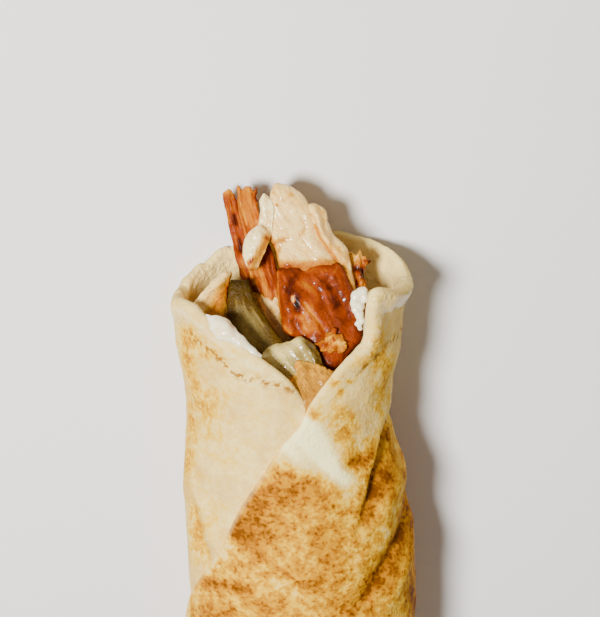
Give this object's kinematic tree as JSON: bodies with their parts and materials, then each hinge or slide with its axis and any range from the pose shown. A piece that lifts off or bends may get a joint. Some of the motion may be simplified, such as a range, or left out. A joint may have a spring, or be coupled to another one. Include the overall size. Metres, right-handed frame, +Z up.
{
  "type": "gyro wrap",
  "caption": "Rolled flatbread with crossed lapels, closed at one end and open at the other, where roast chicken, pickle and white garlic sauce show.",
  "frame": {"origin": "on the flat underside, below the middle of the roll", "axes": "+Y along the roll towards its open mouth, +Z up from the table through the crossed lapels, +X to the right as seen from above with the mouth at the top"},
  "size_m": [0.0696, 0.19, 0.0526],
  "materials": {
    "flatbread": "baked flatbread, pale cream with leopard-spotted toasted patches, matte",
    "chicken_chunk": "thick slice of cooked chicken, cream above and browned orange-red and glossy below",
    "chicken_curl": "cream cooked chicken, moist",
    "chicken_slab": "cream cooked chicken, moist",
    "chicken_side": "pinkish cream cooked chicken with an ochre side, moist",
    "chicken_slice": "tan cooked chicken, moist",
    "chicken_front": "tan cooked chicken with a crumbly edge",
    "chicken_crumb": "orange and cream shredded chicken",
    "chicken_core": "dark roast chicken",
    "roast_strip_long": "glossy orange-brown roast strip with charred spots",
    "roast_strip_frayed": "golden fibrous roast strip",
    "roast_end": "charred brown roast strip",
    "pickle_spear": "dark olive pickle, wet",
    "pickle_round": "pale translucent green pickle, wet",
    "garlic_sauce_bead": "white garlic sauce, glossy",
    "garlic_sauce_dollop": "white garlic sauce, glossy"
  },
  "bodies": {
    "root": {"flatbread": "flatbread", "chicken_chunk": "chicken_chunk", "chicken_curl": "chicken_curl", "chicken_slab": "chicken_slab", "chicken_side": "chicken_side", "chicken_slice": "chicken_slice", "chicken_front": "chicken_front", "chicken_crumb": "chicken_crumb", "chicken_core": "chicken_core", "roast_strip_long": "roast_strip_long", "roast_strip_frayed": "roast_strip_frayed", "roast_end": "roast_end", "pickle_spear": "pickle_spear", "pickle_round": "pickle_round", "garlic_sauce_bead": "garlic_sauce_bead", "garlic_sauce_dollop": "garlic_sauce_dollop"}
  },
  "joints": []
}
